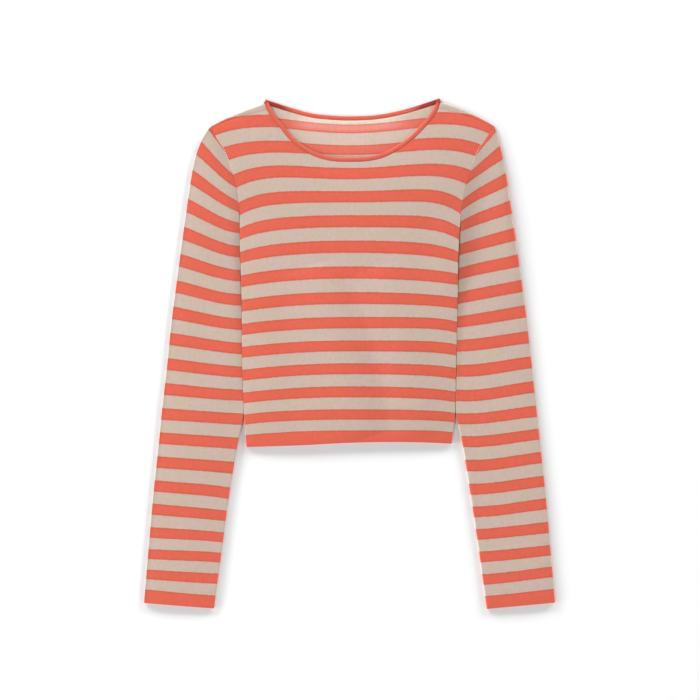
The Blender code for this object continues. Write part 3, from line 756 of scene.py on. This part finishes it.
def crown_height(side, along, across):
    """Extra height of a sleeve's upper layer, along it and across it."""
    share = 1.0 - (1.0 - CROWN_AT_ARMHOLE) * np.exp(-along / CROWN_RUN)
    share = share * (CROWN_AT_CUFF + (1.0 - CROWN_AT_CUFF) * cos(pi / 2.0 * along ** 2))
    return SLEEVE_CROWN[side] * share * np.sin(pi * across.clip(0.0, 1.0) ** CROWN_SKEW) ** CROWN_POWER


def sleeve_piece(name, side):
    """A flattened tube of rings from the armhole to the cuff, open at both ends, outer face out."""
    seam = sleeve_seam(side)
    sections = [(side * seam[0, 0], seam[0, 1], side * seam[-1, 0], seam[-1, 1])]
    for outer_out, outer_up, inner_out, inner_up in SLEEVE_SECTIONS[side]:
        sections.append((outer_out, outer_up, max(inner_out, clear_of_body(side, inner_up)), inner_up))
    ends = smooth_run(sections, SECTION_RINGS)
    ends[:, 2] = np.maximum(ends[:, 2], clear_of_body(side, ends[:, 3]))
    ends[0] = sections[0]
    ends *= (side, 1.0, side, 1.0)
    straight = seam[0] + np.linspace(0.0, 1.0, len(seam))[:, None] * (seam[-1] - seam[0])
    rings, counts = [], []
    body_edge = side_run(side, 0.0)[0][::BODY_EDGE_STEP]
    heights, shade_depths, reaches = np.array(BESIDE_BODY_SHADE[side]).T
    last = len(SLEEVE_STRIPES[side]) - 1
    for row, end in enumerate(ends):
        outer, inner = end[:2], end[2:]
        width = hypot(*(inner - outer))
        beside = np.interp(inner[1], HEM_FREE, (0.0, 1.0)) * np.interp(row, SETTLE_RINGS, (0.0, 1.0))
        across, rise = sleeve_profile(width, 2.0 + (INNER_SQUARE - 2.0) * beside)
        bend = max(1.0 - row / SECTION_RINGS / ARMHOLE_FADE, 0.0) ** 2
        at = across * (len(seam) - 1)
        curve = [np.interp(at, np.arange(len(seam)), (seam - straight)[:, k]) for k in (0, 1)]
        plan = outer + across[:, None] * (inner - outer) + bend * np.stack(curve, axis=1)
        along = row / (len(ends) - 1)
        upper = rise > 0.5
        height = 2.0 * SLEEVE_FOLD * rise + (rise == 1.0) * crown_height(side, along, across)
        sink = INNER_SINK * np.exp(-((plan[:, 1] - SINK_MIDDLE[side]) / SINK_REACH[side]) ** 2)
        sink *= np.exp(-((1.0 - across) * width / INNER_REACH[side]) ** 2)
        height -= upper * sink * np.maximum(height - HUG, 0.0)
        depth = hypot(*(outer - seam[0])) / DIP_REACH
        height -= upper * ARMHOLE_DIP * np.exp(-depth ** 2)
        rings.append(np.concatenate([plan, height[:, None]], axis=1))
        wale = np.where(np.arange(len(across)) <= len(across) // 2, across, -across) * width
        # Painted shade beside the body, darkest where the sleeve lies against it.
        out = distance_to(body_edge, plan[None])[0][0] / np.interp(plan[:, 1], heights, reaches)
        painted_shade = upper * np.interp(plan[:, 1], heights, shade_depths) * np.exp(-out ** SHADE_FLATNESS)
        # Painted shade along the outer fold of the sleeve.
        painted_shade = painted_shade + OUTER_FOLD_SHADE[side] * np.exp(-(across * width / OUTER_FOLD_SHADE_REACH) ** 2)
        counts.append(striped_counts(wale, sleeve_count(plan[:, 0], plan[:, 1], side), last, painted_shade))
    rings, counts = np.array(rings), np.array(counts)
    across, rise = sleeve_profile(NOMINAL_WIDTH)
    flat = 1.0 - np.abs(2.0 * across - 1.0) ** FLAT_POWER
    for layer, creases in SLEEVE_CREASES[side].items():
        on_layer = (rise == (1.0 if layer == "upper" else 0.0)) * flat
        rings[..., 2] += on_layer * crease_height(rings[..., :2], creases)
    order = slice(None, None, side)
    return knit_piece(name, [(rings[:, order], counts[:, order])], (right_side, wrong_side))


SLEEVES = (("striped_sleeve_right", RIGHT, "sleeve_right"), ("striped_sleeve_left", LEFT, "sleeve_left"))
for name, side, node in SLEEVES:
    sleeve = thicken(sleeve_piece(name, side))
    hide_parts(node)

# The linking shows as a short row of pale stitches on each armhole, below the shoulder tip.
LINK_PITCH = 3.2            # from one stitch to the next
LINK_LENGTH, LINK_WIDE, LINK_THICK = 2.2, 1.1, 0.5
LINK_SLANT = 58.0           # degrees off square to the seam
LINK_SPAN = {RIGHT: (17.0, 62.0), LEFT: (20.0, 56.0)}    # distances below the tip between which they show
LINK_HEIGHT = 0.10          # how far they stand on the cloth
LINK_STEPS = 400            # steps of the armhole from which their places are taken
BEAD_POINTS = 9             # points along a stitch and round it
BEAD_PALE, BEAD_DARKENS = 1.1, 1.8      # how pale its middle is, and how much darker its ends
YARN_SCALE = 320.0          # of the unevenness of a single yarn


def yarn_finish(name, dark, low, high):
    """One yarn alone, knitted across the strip, with its colour from dark over low to high. On the neck
    binding that range is painted shade and a painted highlight.
    """
    finish, shader, (wale, course, crown) = cotton_finish(name)
    leg = abs(wale.maths("FRACT") - 0.5) * 2.0
    relief = loop_relief(leg, course)
    place = wale.node("TexCoord", output=3)
    cloud, fuzz = unevenness(place, YARN_SCALE), unevenness(place, FUZZ_SCALE, 2.0)
    colour = (0.0 - crown).mix(crown.mix(low, high), dark)
    # The yarn is uneven and fuzzy, and the dips between its loops are painted darker as shade.
    shade = 0.92 + 0.14 * (cloud - 0.5) + 0.10 * (fuzz - 0.5) + 0.08 * relief
    return dress(finish, shader, colour, shade, relief, fuzz)


linking_yarn = yarn_finish("linking yarn", (0.30, 0.10, 0.07, 1), (0.60, 0.45, 0.37, 1),
                           (0.92, 0.84, 0.78, 1))


def armhole_stitches(name, side):
    """Slanted stitches across the seam, each a small bead that thins out at its ends."""
    run = even_run(on_side(ARMHOLE[side], side), LINK_STEPS)
    inward = left_normals(run) * side
    below_tip = run_lengths(run)[-1] - run_lengths(run)
    top = front_outer(run[None])[0] + LINK_HEIGHT
    turns = np.linspace(0.0, 2.0 * pi, BEAD_POINTS)
    lengths = np.cos(np.linspace(pi, 0.0, BEAD_POINTS))
    pale = BEAD_PALE - lengths ** 4 * BEAD_DARKENS
    counts = knit_counts(lengths[:, None], turns / pi, pale[:, None])
    grids = []
    for down in np.arange(*LINK_SPAN[side], LINK_PITCH):
        at = np.abs(below_tip - down).argmin()
        across = complex(*inward[at]) * complex(cos(radians(LINK_SLANT)), side * sin(radians(LINK_SLANT)))
        axis = np.array((across.real, across.imag, 0.0))
        beside = np.array((-axis[1], axis[0], 0.0))
        centre = np.array((*(run[at] - inward[at] * SEAM / 2.0), top[at] - LINK_THICK / 2.0))
        girth = np.cos(turns)[:, None] * beside * LINK_WIDE
        girth = girth + np.sin(turns)[:, None] * (0.0, 0.0, LINK_THICK)
        place = (centre + lengths[:, None, None] * axis * LINK_LENGTH / 2.0
                 + np.sqrt(1.0 - lengths ** 2)[:, None, None] / 2.0 * girth)
        grids.append((place, counts))
    return knit_piece(name, grids, (linking_yarn,))


for name, side in (("armhole_stitches_right", RIGHT), ("armhole_stitches_left", LEFT)):
    armhole_stitches(name, side)

# --- Neck binding ----------------------------------------------------------------------------------
# A narrow folded strip of the coral knit, linked round the neckline in one closed ring. It stands a
# little proud of the front, rolls over at the two neck corners and runs back along the nape.

BAND_WIDTH = 5.6            # from its free edge to its seam
BAND_THICK = 1.5
BAND_PROUD = 0.25           # how far its middle sits above the middle of the front's cloth
BAND_GAP = 0.08             # between the binding and the neckline's edge
BAND_FRONT, BAND_TURN, BAND_NAPE = 220, 20, 110
BAND_POINTS = 24
BAND_SQUARE = 3.0           # 2 is an ellipse, more is squarer
BAND_CLOTH = 0.45           # thickness of the folded strip
BAND_OPEN = 9.0             # degrees of its section left open at the seam
BAND_COURSE = 1.2           # width of its knitted rows
BAND_LIT = 0.75             # place of its middle in the painted highlight across it, between its low and its high colour
NAPE_SHADE = 2.4            # how far below them the painted shade on the nape goes
NAPE_SHADE_LENGTH = 32.0            # length from each corner over which the nape's strip is painted darker as shade
TURN_SHADE_LENGTH = 6.0             # and over which that painted shade ends round the corner

# The binding's dark colour is painted shade at the nape's corners, its low colour painted shade at the seam,
# and its high colour a painted highlight at the free edge.
binding_yarn = yarn_finish("neck binding yarn", (0.360, 0.028, 0.022, 1), (0.570, 0.086, 0.056, 1),
                           (0.705, 0.126, 0.078, 1))


def band_turn(corner, first, last, top, low):
    """Stations round a neck corner, where the binding rolls over from front to back."""
    first, last = Vector(first), Vector(last)
    swing = first.angle_signed(last)
    upward = Vector((-first.y - last.y, first.x + last.x)).normalized()
    if upward.y < 0.0:
        upward.negate()
    stations = []
    for step in range(1, BAND_TURN):
        roll = pi * step / BAND_TURN
        turn = swing * roll / pi
        ahead, aside = cos(turn), sin(turn)
        toward = Vector((ahead * first.x + aside * first.y, ahead * first.y - aside * first.x))
        across = (upward - toward * upward.dot(toward)).normalized()
        through = Vector((0.0, 0.0, cos(roll))) + across.to_3d() * sin(roll)
        centre = Vector((*corner, 0.0)) - toward.to_3d() * (BAND_GAP + BAND_WIDTH / 2.0)
        centre.z = (top + low) / 2.0
        stations.append((centre + through * (top - low) / 2.0, toward.to_3d(), through))
    return np.array(stations)


def flat_stations(run, heights, through):
    """Stations along a neckline: centre, direction to the panel, and direction of the outer face."""
    toward = -left_normals(run)
    centre = run - toward * (BAND_GAP + BAND_WIDTH / 2.0)
    level = np.zeros((len(run), 1))
    outward = np.broadcast_to((0.0, 0.0, through), (len(run), 3))
    return np.stack([np.concatenate([centre, heights[:, None]], axis=1),
                     np.concatenate([toward, level], axis=1), outward], axis=1)


def neck_binding():
    """The ring: along the front neckline, over the corner, along the nape and over again."""
    neck, nape = even_run(FRONT_NECK, BAND_FRONT), even_run(BACK_NECK, BAND_NAPE)
    heights = front_outer(neck[None])[0] - CLOTH / 2.0 + BAND_PROUD
    low = BAND_THICK / 2.0
    over = flat_stations(neck, heights, 1.0)
    under = flat_stations(nape, np.full(len(nape), low), -1.0)
    turns = [band_turn(neck[k], over[k, 1, :2], under[k, 1, :2], heights[k], low) for k in (-1, 0)]
    stations = np.concatenate([over, turns[0], under[::-1], turns[1][::-1], over[:1]])
    angles = np.radians(np.linspace(BAND_OPEN, 360.0 - BAND_OPEN, BAND_POINTS + 1))
    power = 2.0 / BAND_SQUARE
    wide = np.sign(np.cos(angles)) * np.abs(np.cos(angles)) ** power * BAND_WIDTH / 2.0
    thick = np.sign(np.sin(angles)) * np.abs(np.sin(angles)) ** power * BAND_THICK / 2.0
    centre, width, through = stations[:, None, 0], stations[:, None, 1], stations[:, None, 2]
    place = centre + width * wide[:, None] + through * thick[:, None]
    along = run_lengths(stations[:, 0])
    around = run_lengths(np.stack([wide, thick], axis=1))
    nape_start, nape_end = along[len(over) + BAND_TURN - 1], along[len(over) + BAND_TURN + len(under) - 2]
    # Painted shade on the nape's strip near each corner, and a painted highlight across the binding towards
    # its free edge.
    dark = sum(np.where(inside < 0.0, np.exp(-(inside / TURN_SHADE_LENGTH) ** 2), np.exp(-(inside / NAPE_SHADE_LENGTH) ** 4))
               for inside in (along - nape_start, nape_end - along))
    crown = np.clip(BAND_LIT - wide / BAND_WIDTH, 0.0, 1.0) - NAPE_SHADE * dark[:, None]
    counts = knit_counts(along[:, None] / WALE, around / BAND_COURSE, crown)
    return knit_piece("neck_binding", [(place[:, ::-1], counts[:, ::-1])], (binding_yarn,))


binding = thicken(neck_binding(), BAND_CLOTH)
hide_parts("neckband")

# --- Table, light and camera -----------------------------------------------------------------------
# The top lies on a plain white table in a broad soft light. Most of the low light comes from the upper
# left and less from the upper right. It leaves soft shadows below the hem and the cuffs, and right of
# the sleeves. The camera looks straight down.

TABLE_SIZE = 30.0           # metres
TABLE_DROP = 0.15           # millimetres below the cloth
TABLE_WHITE = 0.92

table_mesh = bpy.data.meshes.new("table")
reach, drop = TABLE_SIZE / 2.0, -TABLE_DROP * MM
corners = [(-reach, -reach, drop), (reach, -reach, drop), (reach, reach, drop), (-reach, reach, drop)]
table_mesh.from_pydata(corners, [], [(0, 1, 2, 3)])
table = add_object("table", table_mesh)
white = bpy.data.materials.new("white table")
white.use_nodes = True
paint = white.node_tree.nodes["Principled BSDF"]
paint.inputs["Base Color"].default_value = (TABLE_WHITE, TABLE_WHITE, TABLE_WHITE, 1.0)
paint.inputs["Roughness"].default_value = 1.0
paint.inputs["Specular IOR Level"].default_value = 0.0
table_mesh.materials.append(white)

# Lights: azimuth and elevation in degrees, share of the light on the table, how many degrees wide it
# looks, and the distance in metres of a lamp that is near. The others are suns.
LIGHTS = {
    "far left": (133.0, 12.0, 0.26, 14.0, 7.5),
    "left": (189.0, 10.0, 0.12, 11.0, 6.5),
    "far right": (50.0, 10.5, 0.18, 14.0, None),
    "far": (90.0, 12.0, 0.04, 14.0, None),
    "near": (250.0, 14.0, 0.03, 18.0, None),
    "near right": (315.0, 18.0, 0.13, 16.0, None),
    "high left": (222.0, 42.0, 0.24, 20.0, None),
    "right": (20.0, 15.0, 0.01, 14.0, None),
}
for name, (azimuth, elevation, share, spread, distance) in LIGHTS.items():
    data = bpy.data.lights.new(name, "POINT" if distance else "SUN")
    lamp = add_object(name, data)
    azimuth, elevation, spread = radians(azimuth), radians(elevation), radians(spread)
    if distance:
        data.energy = share * (2.0 * pi * distance) ** 2 / sin(elevation)
        data.shadow_soft_size = distance * tan(spread / 2.0)
        level = distance * cos(elevation)
        lamp.location = (level * cos(azimuth), level * sin(azimuth), distance * sin(elevation))
    else:
        data.energy = share * pi / sin(elevation)
        data.angle = spread
        lamp.rotation_euler = Euler((pi / 2.0 - elevation, 0.0, azimuth + pi / 2.0))

# The room is bright round the table's horizon and dimmer overhead.
ROOM_LOW, ROOM_HIGH = (0.95, 0.95, 0.95, 1.0), (0.11, 0.11, 0.11, 1.0)
ROOM_EDGE = (0.22, 0.12)    # how high the bright part reaches, and how softly it ends
world = bpy.data.worlds.new("studio")
world.use_nodes = True
room = world.node_tree.nodes["Background"].inputs["Color"]
toward = Strand(room).node("TexCoord", output=0)
upward = toward.node("SeparateXYZ", {0: toward}, output=2)
world.node_tree.links.new(upward.step(*ROOM_EDGE).mix(ROOM_LOW, ROOM_HIGH).socket, room)
bpy.context.scene.world = world
bpy.context.scene.view_settings.view_transform = "Standard"

FRAME_WIDTH = 910.0         # what the photograph's frame spans on the table
FRAME_CENTRE = (0.585, 4.565)           # and its middle, from the middle of the garment
LENS, SENSOR = 85.0, 36.0
GARMENT_MIDDLE = 2.5        # the frame is measured at this height

lens = bpy.data.cameras.new("camera")
lens.lens, lens.sensor_width = LENS, SENSOR
camera = add_object("camera", lens)
camera.location = Vector((*FRAME_CENTRE, FRAME_WIDTH * LENS / SENSOR + GARMENT_MIDDLE)) * MM
bpy.context.scene.camera = camera
